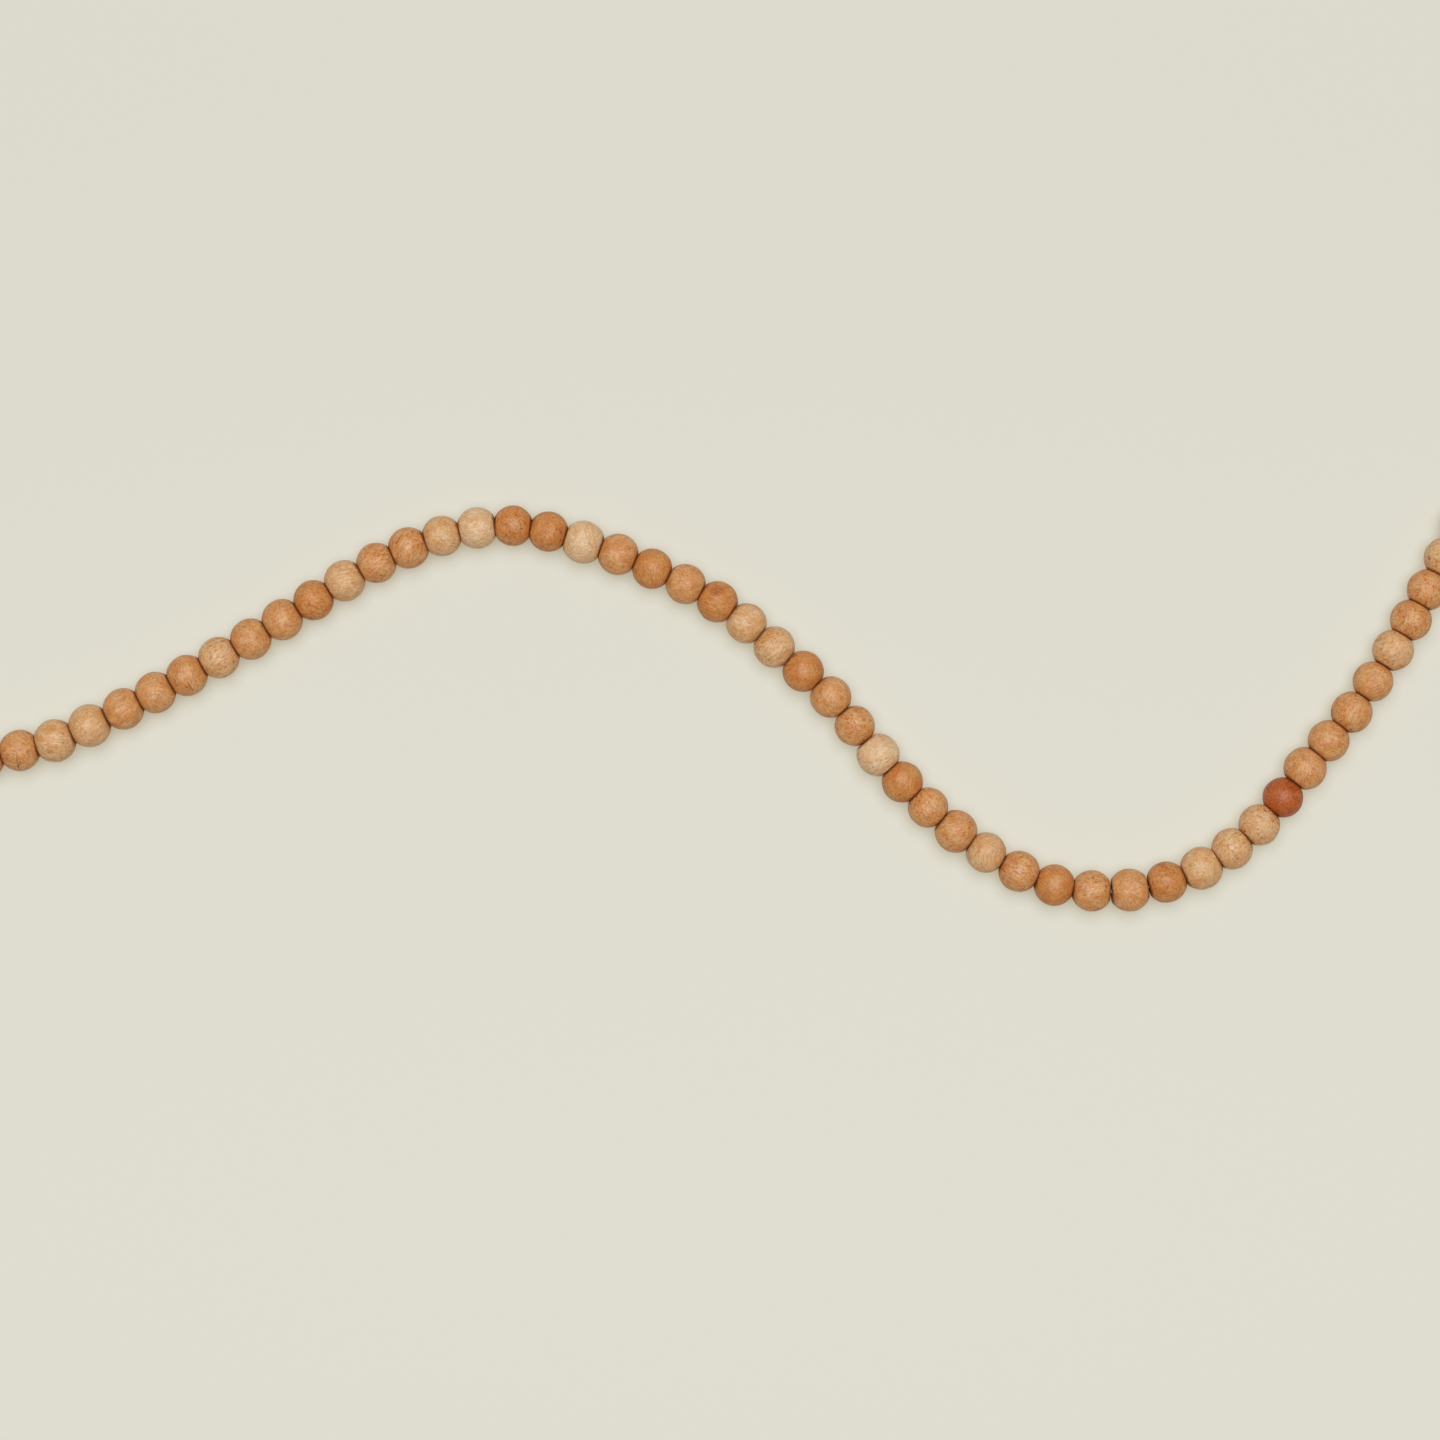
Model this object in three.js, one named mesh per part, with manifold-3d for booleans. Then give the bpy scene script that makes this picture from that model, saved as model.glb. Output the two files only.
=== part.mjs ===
// A garland of turned wooden beads on one cotton string, lying in a long S on a flat surface.
// Millimetres, +Z up. The origin is on the surface, under the middle of the whole garland.
import * as THREE from 'three';
import { mergeVertices } from 'three/addons/utils/BufferGeometryUtils.js';
import Module from 'manifold-3d';

const wasm = await Module();
wasm.setup();

// Sizes of one bead, by the letter that the width chart gives it
const beadWidth = { S: 15.6, M: 16, L: 16.6 };
const boreWidth = 3.8;
const beadSides = 12;
const footBand = THREE.MathUtils.degToRad(11);
const beadGap = 0.3;
const endFace = 7;

// Sizes of the string and of the tie at each of its ends
const stringWidth = 1.4;
const stringSides = 8;
const stringHeight = 8;
const threadSteps = 76;
const loopSteps = 26;
const tailSteps = 7;
const knotSides = 12;
const knotTurns = 3;
const knotHalfWide = 2.8;
const knotHalfHigh = 2.2;
const knotGroove = 0.5;
const knotStart = 0.3;
const startLean = 3;
const finishLean = -2;

// One letter for each bead along the string: how wide it was turned, and the tone of its wood
const widthChart = 'MMLLMMMMMMSMSMSMSSLMSSMSMMMSLMSLSMMMLMLMMSLMMSMMMMM';
const toneChart = 'CEBBDDEBCCFBEDCAEEAEFEGCCFDCAFECBDECCDBCCHEDEDCDEBD';
const woodTone = {
  A: 0xd3b28d, B: 0xcda57d, C: 0xcc9b69, D: 0xc8905c,
  E: 0xc48c59, F: 0xbf824e, G: 0xb67845, H: 0xac5f38,
};

// Middle of the garland, measured from the point that the camera looks at
const middle = { x: -6.66, y: 18.21 };

// The string's route over the surface, with a row for every second bead
const route = [
  { x: -284.4, y: -14.8 }, { x: -257.0, y: -8.0 }, { x: -230.5, y: 4.3 },
  { x: -206.0, y: 17.2 }, { x: -181.3, y: 31.3 }, { x: -157.1, y: 46.3 },
  { x: -132.8, y: 60.7 }, { x: -107.5, y: 71.1 }, { x: -80.0, y: 75.1 },
  { x: -52.8, y: 68.7 }, { x: -26.2, y: 58.5 }, { x: -1.0, y: 45.7 },
  { x: 21.0, y: 28.2 }, { x: 42.8, y: 8.8 }, { x: 61.1, y: -13.5 },
  { x: 80.4, y: -33.8 }, { x: 102.8, y: -51.2 }, { x: 129.2, y: -63.8 },
  { x: 158.2, y: -65.7 }, { x: 186.0, y: -57.3 }, { x: 208.4, y: -40.5 },
  { x: 226.1, y: -18.7 }, { x: 244.1, y: 3.0 }, { x: 260.1, y: 27.0 },
  { x: 273.5, y: 50.3 }, { x: 286.6, y: 75.0 },
];

// Half of the hanging loop, from the knot to its far end: out from the bead, to the side, and height
const loopHalf = [
  { out: 4.6, side: 0.75, up: 8 }, { out: 7.4, side: 0.9, up: 7.6 }, { out: 11, side: 1.5, up: 5.6 },
  { out: 14.6, side: 2.5, up: 2.6 }, { out: 18.2, side: 3.7, up: 0.9 }, { out: 22.6, side: 4.8, up: 0.75 },
  { out: 27.6, side: 5, up: 0.75 }, { out: 31.4, side: 3.4, up: 0.75 },
];
const loopEnd = { out: 33, side: 0, up: 0.75 };
const tail = [
  { out: 3.6, side: 1.2, up: 9.1 }, { out: 6.2, side: 2.6, up: 8.8 }, { out: 9, side: 4.4, up: 6.6 },
  { out: 11.4, side: 6.2, up: 3 }, { out: 14, side: 7.8, up: 0.9 }, { out: 17.6, side: 9, up: 0.75 },
];

const beadCount = widthChart.length;
const corners = route.map((row) => new THREE.Vector3(row.x, row.y, stringHeight));
const line = new THREE.CatmullRomCurve3(corners, false, 'catmullrom');

// Where each bead's middle lies, and which way its bore points
const beads = [...widthChart].map((width, index) => {
  const along = index / (beadCount - 1);
  const heading = line.getTangent(along);
  return { radius: beadWidth[width] / 2, place: line.getPoint(along), heading, tone: toneChart[index] };
});

// How far a bead's end may reach, so that its rim stays clear of the next bead on a bend
function reach(bead, other) {
  const apart = new THREE.Vector3().subVectors(other.place, bead.place).setZ(0);
  const half = (apart.length() - beadGap) / 2;
  const straight = Math.abs(bead.heading.dot(apart.normalize()));
  const tilt = Math.acos(Math.min(1, straight));
  return bead.radius * Math.sin(Math.asin(half / bead.radius) - tilt);
}

// A turned bead: a ball with its two ends cut flat and a bore through it
function turnedBead(radius, back, ahead) {
  const spread = 1 / Math.cos(Math.PI / beadSides);
  const at = (along, out) => new THREE.Vector2(out * spread, along);
  const rim = (end) => Math.sqrt(radius * radius - end * end);
  const shoulder = (end) => {
    const angle = (Math.asin(end / radius) + footBand) / 2;
    const bulge = radius / Math.cos((angle - footBand) / 2);
    return { along: bulge * Math.sin(angle), out: bulge * Math.cos(angle) };
  };
  const band = radius * Math.tan(footBand);
  const bore = boreWidth / 2;
  const low = shoulder(back);
  const high = shoulder(ahead);
  const profile = [
    at(-back, bore), at(-back, rim(back)), at(-low.along, low.out), at(-band, radius),
    at(band, radius), at(high.along, high.out), at(ahead, rim(ahead)), at(ahead, bore), at(-back, bore),
  ];
  const shape = new THREE.LatheGeometry(profile, beadSides);
  shape.rotateY(Math.PI / beadSides);
  return shape;
}

// A closed tube along a route
function tube(points, steps) {
  const ring = Array.from({ length: stringSides }, (_, k) => {
    const turn = (2 * Math.PI * k) / stringSides;
    return new THREE.Vector2(Math.cos(turn), Math.sin(turn)).multiplyScalar(stringWidth / 2);
  });
  const extrudePath = new THREE.CatmullRomCurve3(points);
  return new THREE.ExtrudeGeometry(new THREE.Shape(ring), { steps, extrudePath, bevelEnabled: false });
}

// The knot: three turns of string laid side by side round the string itself
function knot() {
  const turn = stringWidth;
  const groove = knotHalfWide - knotGroove;
  const profile = [new THREE.Vector2(0, 0)];
  for (let k = 0; k < knotTurns; k += 1) {
    profile.push(new THREE.Vector2(groove, k * turn));
    profile.push(new THREE.Vector2(knotHalfWide, (k + 0.5) * turn));
  }
  profile.push(new THREE.Vector2(groove, knotTurns * turn), new THREE.Vector2(0, knotTurns * turn));
  const shape = new THREE.LatheGeometry(profile, knotSides);
  return shape.scale(1, 1, knotHalfHigh / knotHalfWide);
}

function solid(geometry) {
  const bare = geometry.clone();
  bare.deleteAttribute('normal');
  bare.deleteAttribute('uv');
  const merged = mergeVertices(bare);
  const vertProperties = Float32Array.from(merged.attributes.position.array);
  const triVerts = Uint32Array.from(merged.index.array);
  return new wasm.Manifold(new wasm.Mesh({ numProp: 3, vertProperties, triVerts }));
}

function surface(body) {
  const mesh = body.getMesh();
  const geometry = new THREE.BufferGeometry();
  geometry.setAttribute('position', new THREE.BufferAttribute(mesh.vertProperties, 3));
  geometry.setIndex(new THREE.BufferAttribute(mesh.triVerts, 1));
  geometry.computeVertexNormals();
  return geometry;
}

// The frame at one end of the string: its origin is on the end bead's outer face, X points outwards
function endFrame(bead, direction, faceReach) {
  const out = bead.heading.clone().multiplyScalar(direction);
  const side = new THREE.Vector3(0, 0, 1).cross(out);
  const face = bead.place.clone().addScaledVector(out, faceReach).setZ(0);
  return new THREE.Matrix4().makeBasis(out, side, new THREE.Vector3(0, 0, 1)).setPosition(face);
}

// Knot, hanging loop and short tail, as one end of the string
function endTie(frame, lean) {
  const placed = (row, flip = 1) => {
    const drift = lean * (row.out / loopEnd.out) ** 2;
    return new THREE.Vector3(row.out, row.side * flip + drift, row.up).applyMatrix4(frame);
  };
  const there = loopHalf.map((row) => placed(row, -1));
  const back = [...loopHalf].reverse().map((row) => placed(row));
  const loop = tube([...there, placed(loopEnd), ...back], loopSteps);
  const end = tube(tail.map((row) => placed(row)), tailSteps);
  const lump = knot().rotateZ(-Math.PI / 2).translate(knotStart, 0, stringHeight).applyMatrix4(frame);
  return solid(loop).add(solid(end)).add(solid(lump));
}

const startFrame = endFrame(beads[0], -1, endFace);
const finishFrame = endFrame(beads[beadCount - 1], 1, endFace);

// The string itself, from inside one knot, through every bore, into the other knot
const inKnot = new THREE.Vector3(knotStart + 2 * stringWidth, 0, stringHeight);
const threadRoute = [
  inKnot.clone().applyMatrix4(startFrame),
  ...beads.map((bead) => bead.place),
  inKnot.clone().applyMatrix4(finishFrame),
];
const string = solid(tube(threadRoute, threadSteps))
  .add(endTie(startFrame, startLean))
  .add(endTie(finishFrame, finishLean));

const garland = new THREE.Group();
garland.position.set(-middle.x, -middle.y, 0);

const up = new THREE.Vector3(0, 0, 1);
beads.forEach((bead, index) => {
  const back = index > 0 ? reach(bead, beads[index - 1]) : endFace;
  const ahead = index < beadCount - 1 ? reach(bead, beads[index + 1]) : endFace;
  const wood = new THREE.MeshStandardMaterial({ color: woodTone[bead.tone], roughness: 0.6, metalness: 0 });
  const mesh = new THREE.Mesh(turnedBead(bead.radius, back, ahead), wood);
  const across = bead.heading.clone().cross(up);
  mesh.name = `bead_${String(index + 1).padStart(2, '0')}`;
  mesh.position.copy(bead.place).setZ(bead.radius);
  mesh.rotation.setFromRotationMatrix(new THREE.Matrix4().makeBasis(across, bead.heading, up));
  garland.add(mesh);
});

const cotton = new THREE.MeshStandardMaterial({ color: 0xe4dcc8, roughness: 0.9, metalness: 0 });
const stringMesh = new THREE.Mesh(surface(string), cotton);
stringMesh.name = 'string';
garland.add(stringMesh);

export default garland;
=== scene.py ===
import math
import random

import bpy
from mathutils import Matrix, Vector


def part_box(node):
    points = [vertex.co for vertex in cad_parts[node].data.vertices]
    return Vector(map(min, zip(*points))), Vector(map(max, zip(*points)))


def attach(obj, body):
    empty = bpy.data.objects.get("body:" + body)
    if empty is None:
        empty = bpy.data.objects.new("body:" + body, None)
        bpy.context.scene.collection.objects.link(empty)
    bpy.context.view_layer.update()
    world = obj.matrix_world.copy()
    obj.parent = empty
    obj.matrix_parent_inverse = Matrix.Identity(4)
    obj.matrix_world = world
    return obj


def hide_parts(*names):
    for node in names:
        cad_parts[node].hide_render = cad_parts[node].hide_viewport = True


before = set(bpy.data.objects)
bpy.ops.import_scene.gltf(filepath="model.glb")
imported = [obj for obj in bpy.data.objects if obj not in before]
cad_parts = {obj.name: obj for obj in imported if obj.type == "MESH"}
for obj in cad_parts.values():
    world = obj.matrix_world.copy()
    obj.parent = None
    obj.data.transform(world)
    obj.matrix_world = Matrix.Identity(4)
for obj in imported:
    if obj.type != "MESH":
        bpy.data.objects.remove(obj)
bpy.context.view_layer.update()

# The tabletop, the lamp and the camera. The garland lies on a plain pale top under one wide soft
# lamp hung over it and a little beyond it, with a faint warm glow from the room. The camera looks
# straight down.
look_at = Vector((0.00666, -0.01821, 0.008))
width_in_view = 0.5565
lens = 100
sensor = 36

camera_data = bpy.data.cameras.new("camera")
camera_data.lens = lens
camera_data.sensor_width = sensor
camera = bpy.data.objects.new("camera", camera_data)
camera.location = look_at + Vector((0, 0, width_in_view * lens / sensor))
bpy.context.collection.objects.link(camera)
bpy.context.scene.camera = camera
bpy.context.scene.view_settings.view_transform = "Standard"

lamp_height = 4
lamp_width = 4.4
lamp_shift = 0.55
lamp_power = 188
lamp_data = bpy.data.lights.new("soft_lamp", "AREA")
lamp_data.shape = "DISK"
lamp_data.size = lamp_width
lamp_data.energy = lamp_power
lamp = bpy.data.objects.new("soft_lamp", lamp_data)
lamp.location = look_at + Vector((0, lamp_shift, lamp_height))
lamp.rotation_euler = (-math.atan2(lamp_shift, lamp_height), 0, 0)
bpy.context.collection.objects.link(lamp)

room_glow = 0.12
room_colour = (1, 0.88, 0.72, 1)
world = bpy.data.worlds.new("room")
bpy.context.scene.world = world
world.use_nodes = True
world.node_tree.nodes["Background"].inputs["Color"].default_value = room_colour
world.node_tree.nodes["Background"].inputs["Strength"].default_value = room_glow


def linear(red, green, blue):
    """A colour given as on a screen, from 0 to 255, as the light that it sends back."""
    shares = [part / 255 for part in (red, green, blue)]
    return (*[s / 12.92 if s < 0.04045 else ((s + 0.055) / 1.055) ** 2.4 for s in shares], 1)


class Wire:
    """An output of a node. Maths written with it adds the nodes that work it out."""

    def __init__(self, graph, socket):
        self.graph = graph
        self.socket = socket

    def __add__(self, other):
        return self.graph.maths("ADD", self, other)

    def __radd__(self, other):
        return self.graph.maths("ADD", other, self)

    def __sub__(self, other):
        return self.graph.maths("SUBTRACT", self, other)

    def __rsub__(self, other):
        return self.graph.maths("SUBTRACT", other, self)

    def __mul__(self, other):
        return self.graph.maths("MULTIPLY", self, other)

    def __rmul__(self, other):
        return self.graph.maths("MULTIPLY", other, self)

    def __truediv__(self, other):
        return self.graph.maths("DIVIDE", self, other)

    def __rtruediv__(self, other):
        return self.graph.maths("DIVIDE", other, self)

    def __pow__(self, other):
        return self.graph.maths("POWER", self, other)

    def __neg__(self):
        return self.graph.maths("MULTIPLY", self, -1)


class Graph:
    """A tree of nodes, for a material or for a shape, that grows as its maths is written."""

    def __init__(self, tree):
        self.tree = tree
        tree.nodes.clear()

    def node(self, kind, settings=None, sockets=None, output=0):
        """Adds a node of a kind, makes its settings, then fills its sockets with values or wires."""
        made = self.tree.nodes.new(kind)
        for name, value in (settings or {}).items():
            setattr(made, name, value)
        for name, value in (sockets or {}).items():
            socket = self.pick(made.inputs, name)
            if isinstance(value, Wire):
                self.tree.links.new(value.socket, socket)
            else:
                socket.default_value = value
        return Wire(self, self.pick(made.outputs, output)) if len(made.outputs) else made

    def pick(self, sockets, name):
        shown = [socket for socket in sockets if socket.enabled]
        return shown[name] if isinstance(name, int) else next(s for s in shown if s.name == name)

    def maths(self, operation, *inputs):
        """One step of maths, on vectors where any input is one."""
        vector = any(isinstance(i, (tuple, Vector)) or getattr(i, "socket", None) is not None
                     and i.socket.type == "VECTOR" for i in inputs)
        kind = "ShaderNodeVectorMath" if vector else "ShaderNodeMath"
        if vector:
            inputs = [(i, i, i) if isinstance(i, (int, float)) else i for i in inputs]
        return self.node(kind, {"operation": operation}, dict(enumerate(inputs)))

    def noise(self, vector, detail=2.0, roughness=0.5):
        """Smooth noise about the middle value 0."""
        sockets = {"Vector": vector, "Scale": 1.0, "Detail": detail, "Roughness": roughness}
        return self.node("ShaderNodeTexNoise", {"noise_dimensions": "3D"}, sockets) - 0.5

    def blend(self, share, first, second, way="MIX"):
        """Mixes two colours."""
        settings = {"data_type": "RGBA", "blend_type": way}
        return self.node("ShaderNodeMix", settings, {"Factor": share, "A": first, "B": second})

    def step(self, value, low, high):
        """A smooth rise from 0, where value is low, to 1, where it is high."""
        sockets = {"Value": value, "From Min": low, "From Max": high}
        return self.node("ShaderNodeMapRange", {"interpolation_type": "SMOOTHSTEP"}, sockets)


def new_material(name):
    material = bpy.data.materials.new(name)
    material.use_nodes = True
    return material, Graph(material.node_tree)


# The top is painted a little lighter towards its near edge, a painted fall of light across it.
top_far = linear(219, 218, 206)
top_near = linear(224, 223, 211)
top_half = 0.28
# A share of the top's colour glows by itself, a painted glow that lightens the shadows on the top.
painted_glow_share = (0.44, 0.4, 0.3, 0)
top_material, graph = new_material("pale_tabletop")
place = graph.node("ShaderNodeTexCoord", {}, {}, "Object")
painted_light_fall = graph.step(graph.node("ShaderNodeSeparateXYZ", {}, {0: place}, "Y"), top_half, -top_half)
colour = graph.blend(painted_light_fall, top_far, top_near)
shader = graph.node("ShaderNodeBsdfPrincipled", {}, {
    "Base Color": graph.blend(1.0, colour, tuple(1 - share for share in painted_glow_share), "MULTIPLY"),
    "Roughness": 1.0,
    "Specular IOR Level": 0.0,
    "Emission Color": graph.blend(1.0, colour, painted_glow_share, "MULTIPLY"),
    "Emission Strength": 1.0,
})
graph.node("ShaderNodeOutputMaterial", {}, {"Surface": shader})

top_mesh = bpy.data.meshes.new("tabletop")
top_reach = 6
corners = [(-1, -1), (1, -1), (1, 1), (-1, 1)]
top_mesh.from_pydata([(x * top_reach, y * top_reach, 0) for x, y in corners], [], [(0, 1, 2, 3)])
top_mesh.materials.append(top_material)
tabletop = bpy.data.objects.new("tabletop", top_mesh)
bpy.context.collection.objects.link(tabletop)

# The string. One length of three-ply undyed cotton runs through every bead. It is tied off at each
# end in a small wound knot, beyond which it makes a hanging loop and leaves a short cut tail.
string_width = 0.0014
string_height = 0.008
string_lay = 0.0046
string_plies = 3
ply_groove = 0.28
ply_roundness = 0.7
thread_step = 0.0008
loop_step = 0.0004
end_face = 0.007
garland_middle = Vector((-0.00666, 0.01821, 0))

# A point for every second bead, from a curve that was fitted to the photo, not chosen by hand.
route = [
    (-0.2844, -0.0148), (-0.2570, -0.0080), (-0.2305, 0.0043), (-0.2060, 0.0172), (-0.1813, 0.0313),
    (-0.1571, 0.0463), (-0.1328, 0.0607), (-0.1075, 0.0711), (-0.0800, 0.0751), (-0.0528, 0.0687),
    (-0.0262, 0.0585), (-0.0010, 0.0457), (0.0210, 0.0282), (0.0428, 0.0088), (0.0611, -0.0135),
    (0.0804, -0.0338), (0.1028, -0.0512), (0.1292, -0.0638), (0.1582, -0.0657), (0.1860, -0.0573),
    (0.2084, -0.0405), (0.2261, -0.0187), (0.2441, 0.0030), (0.2601, 0.0270), (0.2735, 0.0503),
    (0.2866, 0.0750),
]
route = [Vector((x, y, string_height)) - garland_middle for x, y in route]


def smooth(points, part):
    """The place and the heading at a part, from 0 to 1, of the smooth curve through the points."""
    spans = len(points) - 1
    first = min(int(part * spans), spans - 1)
    t = part * spans - first
    here, there = points[first], points[first + 1]
    before = points[first - 1] if first > 0 else 2 * here - there
    after = points[first + 2] if first + 2 < len(points) else 2 * there - here
    drift = (there - before) / 2
    bow = before - 2.5 * here + 2 * there - after / 2
    twist = (after - before) / 2 + 1.5 * (here - there)
    place = here + t * drift + t ** 2 * bow + t ** 3 * twist
    return place, (drift + 2 * t * bow + 3 * t ** 2 * twist).normalized()


parts_between = 40


def evenly(points, step):
    """Points a step apart along the smooth curve through the given ones, both ends among them."""
    parts = parts_between * len(points)
    fine = [smooth(points, k / parts)[0] for k in range(parts + 1)]
    lengths = [0]
    for one, other in zip(fine, fine[1:]):
        lengths.append(lengths[-1] + (other - one).length)
    count = max(2, round(lengths[-1] / step))
    spaced = []
    nearest = 0
    for k in range(count + 1):
        wanted = lengths[-1] * k / count
        while nearest < len(fine) - 2 and lengths[nearest + 1] < wanted:
            nearest += 1
        share = (wanted - lengths[nearest]) / (lengths[nearest + 1] - lengths[nearest])
        spaced.append(fine[nearest].lerp(fine[nearest + 1], share))
    return spaced


def run_tree(name, tree, inputs):
    """An object whose mesh is what the tree makes of those inputs."""
    piece = bpy.data.objects.new(name, bpy.data.meshes.new(name))
    bpy.context.collection.objects.link(piece)
    modifier = piece.modifiers.new(tree.name, "NODES")
    modifier.node_group = tree
    for item in tree.interface.items_tree:
        if item.in_out == "INPUT" and item.name in inputs:
            modifier[item.identifier] = inputs[item.name]
    return piece


def keep_meshes(pieces):
    """Turns what the trees make into plain meshes, and takes the trees off the pieces."""
    bpy.context.view_layer.update()
    evaluated = bpy.context.evaluated_depsgraph_get()
    for piece in pieces:
        made = piece.evaluated_get(evaluated)
        kept = bpy.data.meshes.new_from_object(made, preserve_all_data_layers=True, depsgraph=evaluated)
        material = next(m for m in kept.materials if m)
        kept.materials.clear()
        kept.materials.append(material)
        kept.polygons.foreach_set("material_index", [0] * len(kept.polygons))
        piece.modifiers.clear()
        piece.data = kept
        kept.name = piece.name


def new_shape_tree(name, inputs):
    """A tree for a shape, with those named inputs, and its graph and the wires of its inputs."""
    tree = bpy.data.node_groups.new(name, "GeometryNodeTree")
    graph = Graph(tree)
    tree.interface.new_socket("Geometry", in_out="OUTPUT", socket_type="NodeSocketGeometry")
    for label, kind in inputs:
        tree.interface.new_socket(label, in_out="INPUT", socket_type=kind)
    entry = tree.nodes.new("NodeGroupInput")
    return tree, graph, {label: Wire(graph, entry.outputs[label]) for label, _ in inputs}


def end_shape_tree(graph, shape, material):
    """Ends a tree: real geometry, smooth, with its material."""
    real = graph.node("GeometryNodeRealizeInstances", {}, {"Geometry": shape})
    soft = graph.node("GeometryNodeSetShadeSmooth", {}, {"Geometry": real})
    done = graph.node("GeometryNodeSetMaterial", {}, {"Geometry": soft, "Material": material})
    graph.node("NodeGroupOutput", {}, {"Geometry": done})


def keep_attribute(graph, shape, name, value, kind="FLOAT"):
    settings = {"data_type": kind, "domain": "POINT"}
    sockets = {"Geometry": shape, "Name": name, "Value": value}
    return graph.node("GeometryNodeStoreNamedAttribute", settings, sockets)


cotton, graph = new_material("undyed_cotton")
around = graph.node("ShaderNodeAttribute", {"attribute_name": "fibre_around"}, {}, "Fac")
along = graph.node("ShaderNodeAttribute", {"attribute_name": "fibre_along"}, {}, "Fac")
fibres_around = 7
fibres_along = 900
wear_size = 260
fibre = graph.node("ShaderNodeCombineXYZ", {}, {
    0: graph.maths("COSINE", around) * fibres_around,
    1: graph.maths("SINE", around) * fibres_around,
    2: along * fibres_along,
})
strands = graph.noise(fibre, 3, 0.6)
wear_place = graph.node("ShaderNodeTexCoord", {}, {}, "Object") * (wear_size, wear_size, wear_size)
wear = graph.noise(wear_place, 2)
pale = linear(236, 229, 212)
shaded = linear(206, 194, 168)
shader = graph.node("ShaderNodeBsdfPrincipled", {}, {
    "Base Color": graph.blend(graph.step(strands + 0.6 * wear, 0.3, -0.3), pale, shaded),
    "Roughness": 0.92,
    "Specular IOR Level": 0.2,
    "Sheen Weight": 0.25,
    "Sheen Roughness": 0.5,
    "Normal": graph.node("ShaderNodeBump", {}, {"Strength": 0.6, "Distance": 0.00008, "Height": strands}),
})
graph.node("ShaderNodeOutputMaterial", {}, {"Surface": shader})

string_tree, graph, given = new_shape_tree("twisted string", [
    ("Path", "NodeSocketObject"),
    ("String width", "NodeSocketFloat"),
    ("Lay", "NodeSocketFloat"),
    ("Sides", "NodeSocketInt"),
])
path = graph.node("GeometryNodeObjectInfo", {"transform_space": "RELATIVE"}, {
    "Object": given["Path"],
}, "Geometry")
along = graph.node("GeometryNodeSplineParameter", {}, {}, "Length")
path = keep_attribute(graph, path, "fibre_along", along)
path = graph.node("GeometryNodeSetCurveTilt", {}, {"Curve": path, "Tilt": along / given["Lay"] * math.tau})
ring = graph.node("GeometryNodeCurvePrimitiveCircle", {}, {"Resolution": given["Sides"], "Radius": 1.0})
spot = graph.node("GeometryNodeInputPosition")
angle = graph.maths("ARCTAN2", graph.node("ShaderNodeSeparateXYZ", {}, {0: spot}, "Y"),
                    graph.node("ShaderNodeSeparateXYZ", {}, {0: spot}, "X"))
ply = graph.maths("ABSOLUTE", graph.maths("COSINE", angle * (string_plies / 2))) ** ply_roundness
swell = (1 - ply_groove + ply_groove * ply) * given["String width"] / 2
lobes = graph.node("GeometryNodeSetPosition", {}, {"Geometry": ring, "Position": spot * swell})
lobes = keep_attribute(graph, lobes, "fibre_around", angle)
tube = graph.node("GeometryNodeCurveToMesh", {}, {"Curve": path, "Profile Curve": lobes, "Fill Caps": True})
end_shape_tree(graph, tube, cotton)


def path_object(points):
    """A curve through the points, for a tree to follow."""
    data = bpy.data.curves.new("path", "CURVE")
    data.dimensions = "3D"
    spline = data.splines.new("POLY")
    spline.points.add(len(points) - 1)
    for spot, point in zip(spline.points, points):
        spot.co = (*point, 1)
    followed = bpy.data.objects.new("path", data)
    bpy.context.collection.objects.link(followed)
    return followed


def lay_string(name, points, sides):
    """A piece of the string along the points."""
    inputs = {"Path": path_object(points), "String width": string_width, "Lay": string_lay, "Sides": sides}
    return run_tree(name, string_tree, inputs)


def end_frame(place, outwards):
    """Where the tie at one end is measured from: out from the bead's face, to the side, and up."""
    side = Vector((0, 0, 1)).cross(outwards)
    face = place + outwards * end_face
    turned = Matrix((outwards, side, (0, 0, 1))).transposed().to_4x4()
    return Matrix.Translation((face.x, face.y, 0)) @ turned


knot_start = 0.0003
knot_turns = 3
knot_points = 36
knot_tuck = 8
tucked_size = 0.45
knot_wide = 0.0021
knot_high = 0.0015
loop_out = 0.033
lying = 0.00075
thread_sides = 18
tie_sides = 24
route_parts = 200

# Half of a loop, from its knot to its far end, and a tail: how far out, to the side and up.
loop_half = [
    (0.0036, 0.00075, 0.0080), (0.0046, 0.00075, 0.0080), (0.0074, 0.0009, 0.0076),
    (0.0110, 0.0015, 0.0056), (0.0146, 0.0025, 0.0026), (0.0182, 0.0037, 0.0009),
    (0.0226, 0.0048, lying), (0.0276, 0.0050, lying), (0.0314, 0.0034, lying),
]
tail_rows = [
    (0.0030, 0.0004, 0.0088), (0.0036, 0.0012, 0.0091), (0.0062, 0.0026, 0.0088),
    (0.0090, 0.0044, 0.0066), (0.0114, 0.0062, 0.0030), (0.0140, 0.0078, 0.0009),
    (0.0176, 0.0090, lying),
]


def placed(end, lean, out, side, up):
    """A point of a tie, which leans to one side as it reaches outwards."""
    return end @ Vector((out, side + lean * (out / loop_out) ** 2, up))


def knot_path(end):
    """The turns of a knot, side by side, with both their ends tucked in."""
    steps = knot_points * knot_turns
    points = []
    for k in range(-knot_tuck, steps + knot_tuck + 1):
        angle = math.tau * k / knot_points
        wound = min(max(k / knot_points, 0), knot_turns)
        untucked = min(1, (k + knot_tuck) / knot_tuck, (steps + knot_tuck - k) / knot_tuck)
        size = tucked_size + (1 - tucked_size) * untucked
        points.append(end @ Vector((
            knot_start + string_width * (0.5 + wound * (knot_turns - 1) / knot_turns),
            knot_wide * size * math.cos(angle),
            string_height + knot_high * size * math.sin(angle),
        )))
    return points


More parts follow.
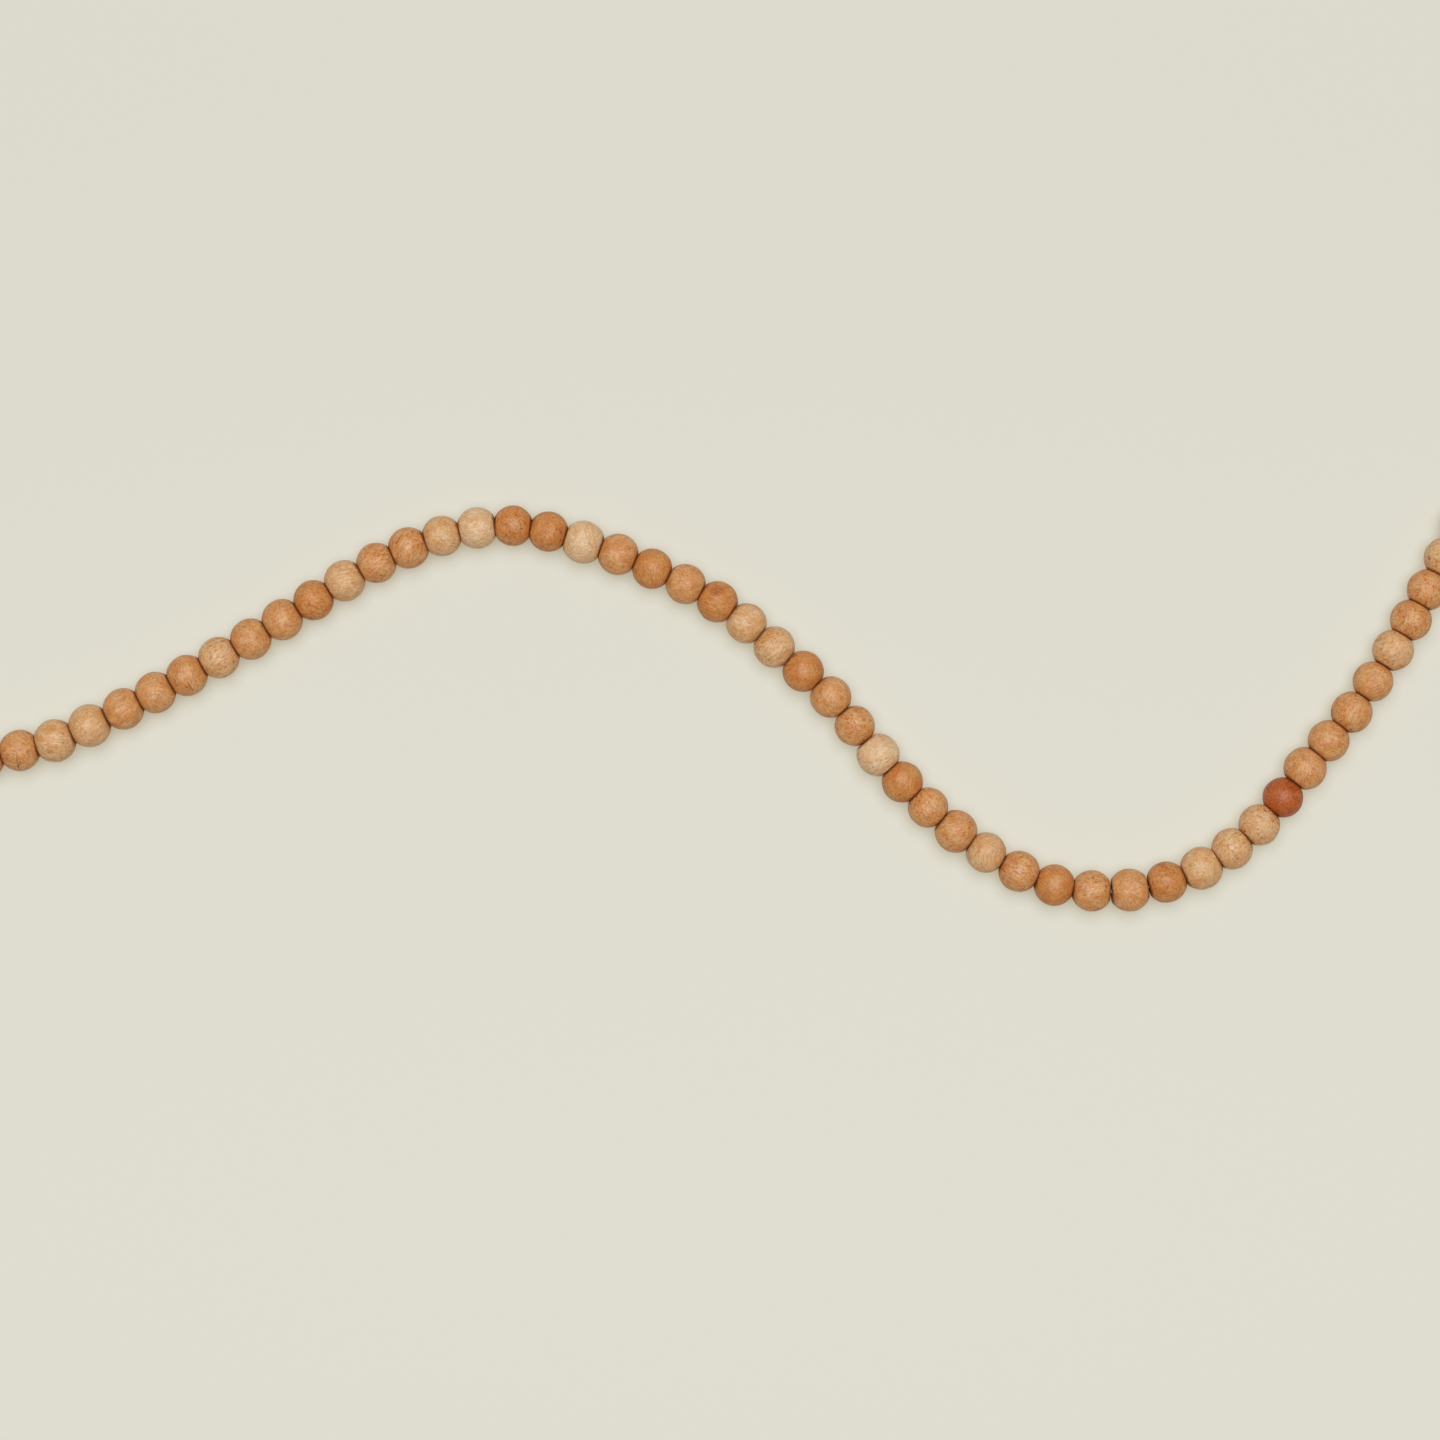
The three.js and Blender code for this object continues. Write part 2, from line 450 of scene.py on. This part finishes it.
start_place, start_heading = smooth(route, 0)
finish_place, finish_heading = smooth(route, 1)
ends = {
    "start": (end_frame(start_place, -start_heading), 0.003),
    "finish": (end_frame(finish_place, finish_heading), -0.002),
}
in_knot = Vector((knot_start + 2 * string_width, 0, string_height))
rounded_route = [smooth(route, k / route_parts)[0] for k in range(route_parts + 1)]
middle_run = evenly(rounded_route, thread_step)
thread_points = [ends["start"][0] @ in_knot, *middle_run, ends["finish"][0] @ in_knot]
string_pieces = [lay_string("string_thread", evenly(thread_points, thread_step), thread_sides)]
loops = {}
for which, (end, lean) in ends.items():
    there = [placed(end, lean, out, -side, up) for out, side, up in loop_half]
    back = [placed(end, lean, out, side, up) for out, side, up in reversed(loop_half)]
    loop_points = evenly([*there, placed(end, lean, loop_out, 0, lying), *back], loop_step)
    tail_points = evenly([placed(end, lean, *row) for row in tail_rows], loop_step)
    loop = lay_string(f"string_loop_{which}", loop_points, tie_sides)
    knot = lay_string(f"string_knot_{which}", knot_path(end), tie_sides)
    tail = lay_string(f"string_tail_{which}", tail_points, tie_sides)
    loops[which] = (loop, loop_points, [knot, tail])
    string_pieces += [loop, knot, tail]
keep_meshes(string_pieces)
for path in [o for o in bpy.data.objects if o.type == "CURVE"]:
    bpy.data.objects.remove(path)
for piece in string_pieces:
    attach(piece, "root")
    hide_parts("string")
for loop, points, on_it in loops.values():
    length = sum((other - one).length for one, other in zip(points, points[1:]))

# The beads. Each is a ball of pale hardwood turned on a lathe, bored through, cut flat at both ends
# and tumbled smooth, with no varnish. They are threaded close together, and no two are quite alike.
bead_sides = 64
bead_rings = 44
outside_rings = 36
outside_share = outside_rings / bead_rings
bore_width = 0.0038
bore_flare = 0.0005
edge_softness = 0.0004
unevenness = 0.00022
weld = 0.00001
bead_gap = 0.00006
open_gap = 0.0006
open_after = ("bead_36", "bead_37")
millimetres = 1000
ring_spacing = 1.2
board_half_width = 14
board_length = 400

# The tone of each bead along the string, as judged: pale, light, middle, deep or reddish.
tone_chart = "MMLLMMMLMMDLMMLPDDPMDMDLLDMMPDMMLMDMMDLLLRMMMMLMMLM"
wood_tone = {
    "P": linear(220, 182, 136),
    "L": linear(214, 168, 116),
    "M": linear(208, 150, 92),
    "D": linear(200, 134, 70),
    "R": linear(180, 94, 36),
}

wood, graph = new_material("sanded_pale_wood")
grain = graph.node("ShaderNodeAttribute", {"attribute_name": "grain_place"}, {}, "Vector")
tone = graph.node("ShaderNodeAttribute", {"attribute_name": "wood_tone"}, {}, "Color")
to_end = graph.node("ShaderNodeAttribute", {"attribute_name": "end_share"}, {}, "Fac")
cut_away = graph.node("ShaderNodeAttribute", {"attribute_name": "cut_depth"}, {}, "Fac")
from_crack = graph.node("ShaderNodeAttribute", {"attribute_name": "from_crack"}, {}, "Vector")
from_smear = graph.node("ShaderNodeAttribute", {"attribute_name": "from_smear"}, {}, "Vector")
smear_tone = graph.node("ShaderNodeAttribute", {"attribute_name": "smear_tone"}, {}, "Color")

# The growth rings and the soft changes of light and hue, then the fine grain, in millimetres.
across = graph.node("ShaderNodeSeparateXYZ", {}, {0: grain}, "X")
deep = graph.node("ShaderNodeSeparateXYZ", {}, {0: grain}, "Y")
ring_distance = (across * across + deep * deep) ** 0.5
wander = graph.noise(grain * (0.16, 0.16, 0.05), 2)
waver = graph.noise(grain * (0.8, 0.8, 0.3), 2)
ring_wave = graph.maths("SINE", (ring_distance / ring_spacing + 2 * wander + 0.5 * waver) * math.tau)
cloud = graph.noise(grain * (0.3, 0.3, 0.18), 2, 0.5)
patches = graph.noise(grain * (0.24, 0.24, 0.2) + (40, 0, 0), 3, 0.6)
warmth = graph.noise(grain * (0.32, 0.32, 0.22) + (0, 70, 0), 4, 0.65)
mottle = graph.noise(grain * (0.9, 0.9, 0.45), 2, 0.6)
speckle = graph.noise(grain * (1.35, 1.35, 0.8), 3, 0.65)
figure = graph.noise(grain * (1.7, 1.7, 0.22), 2, 0.6)
fibres = graph.noise(grain * (7, 7, 0.5), 2, 0.6)

# Pores, dots, the darker patches with painted shade towards the ends, the painted shade where the beads
# meet, the cracks and the stains.
speckled = graph.step(graph.noise(grain * (0.02, 0.02, 0.035), 0), -0.15, 0.15)
pores = graph.step(graph.noise(grain * (5, 5, 0.9), 1), 0.16, 0.3)
# Darker orange patches of the wood, pushed towards the bead's ends too, where they are painted shade on the
# sides facing the neighbouring beads.
patches_and_end_shade = graph.step(patches + 0.5 * mottle + 0.2 * to_end ** 4, 0.0, 0.17)
crowded = (0.3 + 0.7 * speckled) * (0.5 + 0.5 * patches_and_end_shade)
dots = graph.step(graph.noise(grain * (0.9, 0.9, 0.7), 1) + 0.4 * speckle, 0.1, 0.16) * crowded
specks = graph.step(graph.noise(grain * (0.8, 0.8, 0.6) + (0, 0, 90), 1), 0.17, 0.21) * crowded
# Painted shade where the beads meet: the wood is made much darker on and around the flat ends.
contact_shade = graph.step(to_end + 0.1 * mottle, 0.89, 0.99) * (1 - 0.5 * graph.step(cut_away, 0.1, 0.6))
rings = graph.step(ring_wave, 0.1, 1.0) * graph.step(waver + cloud, -0.2, 0.3)
crack_aside = graph.node("ShaderNodeSeparateXYZ", {}, {0: from_crack}, "Y") + 0.8 * mottle
crack_along = graph.node("ShaderNodeSeparateXYZ", {}, {0: from_crack}, "X")
crack_reach = graph.node("ShaderNodeVectorMath", {"operation": "LENGTH"}, {0: from_crack}, "Value")
opened = graph.step(crack_along, -3.5, 3.0)
crack = 1 - graph.step(graph.maths("ABSOLUTE", crack_aside), 0.06 + 0.14 * opened, 0.34 + 0.16 * opened)
crack = crack * (1 - graph.step(crack_reach, 3.2, 4.4)) * (0.35 + 0.65 * opened)
crack = crack * (0.6 + 0.4 * graph.step(mottle + speckle, -0.15, 0.1))
smear_reach = graph.node("ShaderNodeVectorMath", {"operation": "LENGTH"}, {0: from_smear}, "Value")
smear = (1 - graph.step(smear_reach + 4 * mottle, 1.0, 3.6)) * graph.step(mottle + figure, -0.2, 0.1)

# The palest beads are the plainest ones, and the darkest has the strongest grain.
green_share = graph.node("ShaderNodeSeparateColor", {}, {0: tone}, 1)
paleness = graph.step(green_share, 0.33, 0.46)
contrast = 2.2 - 1.12 * graph.step(green_share, 0.11, 0.2) - 0.45 * paleness
calm = 1 - 0.4 * paleness
streaks = 0.8 * mottle + 3.0 * figure + 1.3 * fibres + (1.8 + 1.0 * speckled) * speckle
light_share = 0.64 + 1.3 * calm * cloud + contrast * streaks - 0.25 * rings


def toned(red, green, blue):
    """The bead's own tone with each part of its light changed by a share."""
    return graph.blend(1.0, tone, (red, green, blue, 1), "MULTIPLY")


colour = graph.blend(light_share, toned(0.82, 0.66, 0.5), toned(1.12, 1.26, 1.5))
hue = graph.blend(0.5 + 3.9 * calm * warmth, (1.03, 0.93, 0.78, 1), (0.97, 1.06, 1.18, 1))
colour = graph.blend(1.0, colour, hue, "MULTIPLY")
# The darker patches: partly the wood's own, partly painted shade towards the ends.
colour = graph.blend(0.6 * calm * patches_and_end_shade, colour, toned(0.86, 0.62, 0.36))
# The painted shade where the beads meet.
colour = graph.blend(0.95 * contact_shade, colour, toned(0.36, 0.24, 0.14))
colour = graph.blend(0.35 * pores, colour, toned(0.66, 0.46, 0.3))
colour = graph.blend(dots, colour, toned(0.62, 0.31, 0.12))
colour = graph.blend(specks, colour, toned(0.44, 0.19, 0.08))
colour = graph.blend(0.9 * crack, colour, toned(0.4, 0.2, 0.11))
colour = graph.blend(0.9 * smear, colour, graph.blend(1.0, tone, smear_tone, "MULTIPLY"))
height = 0.5 * speckle + 0.5 * fibres - 0.6 * pores - 0.15 * rings
shader = graph.node("ShaderNodeBsdfPrincipled", {}, {
    "Base Color": colour,
    "Roughness": 0.5 - 0.2 * mottle + 0.06 * patches_and_end_shade,
    "Diffuse Roughness": 0.05,
    "Specular IOR Level": 0.55,
    "Normal": graph.node("ShaderNodeBump", {}, {"Strength": 0.5, "Distance": 0.00005, "Height": height}),
})
graph.node("ShaderNodeOutputMaterial", {}, {"Surface": shader})

bead_tree, graph, given = new_shape_tree("turned bead", [
    ("Radius", "NodeSocketFloat"),
    ("Back end", "NodeSocketFloat"),
    ("Front end", "NodeSocketFloat"),
    ("Back lean", "NodeSocketFloat"),
    ("Front lean", "NodeSocketFloat"),
    ("Place", "NodeSocketVector"),
    ("Heading", "NodeSocketFloat"),
    ("Grain turn", "NodeSocketVector"),
    ("Grain place", "NodeSocketVector"),
    ("Tone", "NodeSocketColor"),
    ("Crack place", "NodeSocketVector"),
    ("Crack turn", "NodeSocketFloat"),
    ("Crack length", "NodeSocketFloat"),
    ("Smear place", "NodeSocketVector"),
    ("Smear tone", "NodeSocketColor"),
])
sheet = graph.node("GeometryNodeMeshGrid", {}, {
    "Size X": 1.0, "Size Y": 1.0, "Vertices X": bead_sides + 1, "Vertices Y": bead_rings + 1,
})
spot = graph.node("GeometryNodeInputPosition")
turn = (graph.node("ShaderNodeSeparateXYZ", {}, {0: spot}, "X") + 0.5) * math.tau
run = graph.node("ShaderNodeSeparateXYZ", {}, {0: spot}, "Y") + 0.5
radius = given["Radius"]
mouth = bore_width / 2 + bore_flare
last_angle = graph.maths("ARCCOSINE", mouth / radius)
outside = graph.maths("MINIMUM", run / outside_share, 1.0) * 2 - 1
inside = graph.maths("MAXIMUM", run - outside_share, 0.0) / (1 - outside_share)


def cut_flat(reached, aside):
    """How far along the bore a point lies, once both ends are cut flat with a softened edge."""
    front = given["Front end"] + aside * given["Front lean"]
    back = -given["Back end"] + aside * given["Back lean"]
    cut = graph.maths("SMOOTH_MIN", reached, front, edge_softness)
    return graph.maths("SMOOTH_MAX", cut, back, edge_softness)


angle = outside * last_angle
bulge = graph.maths("ABSOLUTE", outside) ** 6
bore = bore_flare * (1 - graph.maths("ABSOLUTE", 2 * inside - 1) ** 8)
ball = graph.node("ShaderNodeCombineXYZ", {}, {
    0: graph.maths("SINE", angle),
    1: graph.maths("COSINE", angle) * graph.maths("COSINE", turn),
    2: graph.maths("COSINE", angle) * graph.maths("SINE", turn),
})
uneven = graph.noise(ball * 1.3 + given["Grain place"], 1) * (2 * unevenness) * (1 - bulge)
thick = radius * graph.maths("COSINE", angle) - bore + uneven
aside = thick * graph.maths("COSINE", turn)
reached = cut_flat(radius * graph.maths("SINE", angle), aside)
ahead = graph.maths("GREATER_THAN", angle, 0.0)
other_mouth = cut_flat(-radius * graph.maths("SINE", last_angle), aside)
length = reached + (other_mouth - reached) * inside
local = graph.node("ShaderNodeCombineXYZ", {}, {
    0: length,
    1: aside,
    2: thick * graph.maths("SINE", turn),
})
turned = graph.node("ShaderNodeVectorRotate", {"rotation_type": "EULER_XYZ"}, {
    "Vector": local * millimetres, "Rotation": given["Grain turn"],
})
shape = keep_attribute(graph, sheet, "grain_place", turned + given["Grain place"], "FLOAT_VECTOR")
shape = keep_attribute(graph, shape, "wood_tone", given["Tone"], "FLOAT_COLOR")
own_end = graph.maths("MULTIPLY_ADD", given["Front end"] - given["Back end"], ahead, given["Back end"])
shape = keep_attribute(graph, shape, "end_share", graph.maths("ABSOLUTE", reached) / own_end)
cut_depth = graph.maths("ABSOLUTE", radius * graph.maths("SINE", angle) - reached) * millimetres
shape = keep_attribute(graph, shape, "cut_depth", cut_depth)
faced = graph.node("ShaderNodeVectorRotate", {"rotation_type": "Z_AXIS"}, {
    "Vector": local, "Angle": given["Heading"],
})
common_crack = 7.6
along_crack = graph.node("ShaderNodeVectorRotate", {"rotation_type": "Z_AXIS"}, {
    "Vector": faced * millimetres - given["Crack place"], "Angle": -given["Crack turn"],
})
shrink = common_crack / given["Crack length"]
stretch = graph.node("ShaderNodeCombineXYZ", {}, {0: shrink, 1: 1.0, 2: 1.0})
shape = keep_attribute(graph, shape, "from_crack", along_crack * stretch, "FLOAT_VECTOR")
from_smear = faced * millimetres - given["Smear place"]
shape = keep_attribute(graph, shape, "from_smear", from_smear, "FLOAT_VECTOR")
shape = keep_attribute(graph, shape, "smear_tone", given["Smear tone"], "FLOAT_COLOR")
shape = graph.node("GeometryNodeSetPosition", {}, {"Geometry": shape, "Position": faced + given["Place"]})
spot = graph.node("GeometryNodeInputPosition")
level = graph.node("ShaderNodeCombineXYZ", {}, {
    0: graph.node("ShaderNodeSeparateXYZ", {}, {0: spot}, "X"),
    1: graph.node("ShaderNodeSeparateXYZ", {}, {0: spot}, "Y"),
    2: graph.maths("MAXIMUM", graph.node("ShaderNodeSeparateXYZ", {}, {0: spot}, "Z"), 0.0),
})
shape = graph.node("GeometryNodeSetPosition", {}, {"Geometry": shape, "Position": level})
shape = graph.node("GeometryNodeMergeByDistance", {}, {"Geometry": shape, "Distance": weld})
end_shape_tree(graph, shape, wood)

bead_count = len(tone_chart)
bead_names = [f"bead_{k + 1:02d}" for k in range(bead_count)]
bead_radius = [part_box(name)[1].z / 2 for name in bead_names]
bead_lies = [smooth(route, k / (bead_count - 1)) for k in range(bead_count)]


def end_cut(bead, other):
    """How far out a bead's end is cut, and how that cut leans, so that it meets the next bead's end."""
    if not 0 <= other < bead_count:
        return end_face, 0
    place, heading = bead_lies[bead]
    apart = bead_lies[other][0] - place
    gap = open_gap if bead_names[min(bead, other)] in open_after else bead_gap
    half = (apart.length - gap) / 2
    along = heading.dot(apart) / apart.length
    aside = heading.cross(apart).z / apart.length
    return half / abs(along), -aside / along


# What stands out on single beads: hairline cracks, with their middle in millimetres from the bead's
# middle, their heading and their length, then stains, and last a bead cut where the grain is freckled.
cracks = {
    "bead_02": ((0.3, -3.6, 7.1), math.radians(-88), 9.6),
    "bead_07": ((1.9, -3.9, 6.7), math.radians(-65), 6.0),
}
browned = (0.86, 0.62, 0.38, 1)
reddened = (0.62, 0.27, 0.2, 1)
smears = {
    "bead_03": ((-0.6, 4.4, 6.7), browned),
    "bead_04": ((3.9, 4.4, 5.4), browned),
    "bead_23": ((0.2, 4.0, 6.9), reddened),
}
far_off = (0, 0, 400)
uncracked = (far_off, 0, 1)
unsmeared = (far_off, browned)
freckled = {"bead_42": (2.0, 15.0, 243.0)}

chance = random.Random(16)
beads = []
for k, name in enumerate(bead_names):
    place, heading = bead_lies[k]
    back_end, back_lean = end_cut(k, k - 1)
    front_end, front_lean = end_cut(k, k + 1)
    grain_turn = [chance.uniform(0, math.tau) for _ in range(3)]
    grain_aside = chance.uniform(-board_half_width, board_half_width)
    grain_deep = chance.uniform(-board_half_width, board_half_width)
    grain_start = [grain_aside, grain_deep, chance.uniform(0, board_length)]
    beads.append(run_tree(f"turned_{name}", bead_tree, {
        "Radius": bead_radius[k],
        "Back end": back_end,
        "Front end": front_end,
        "Back lean": back_lean,
        "Front lean": front_lean,
        "Place": (place.x, place.y, bead_radius[k]),
        "Heading": math.atan2(heading.y, heading.x),
        "Grain turn": grain_turn,
        "Grain place": freckled.get(name, grain_start),
        "Tone": wood_tone[tone_chart[k]],
        "Crack place": cracks.get(name, uncracked)[0],
        "Crack turn": cracks.get(name, uncracked)[1],
        "Crack length": cracks.get(name, uncracked)[2],
        "Smear place": smears.get(name, unsmeared)[0],
        "Smear tone": smears.get(name, unsmeared)[1],
    }))
keep_meshes(beads)
for bead, name in zip(beads, bead_names):
    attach(bead, "root")
    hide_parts(name)
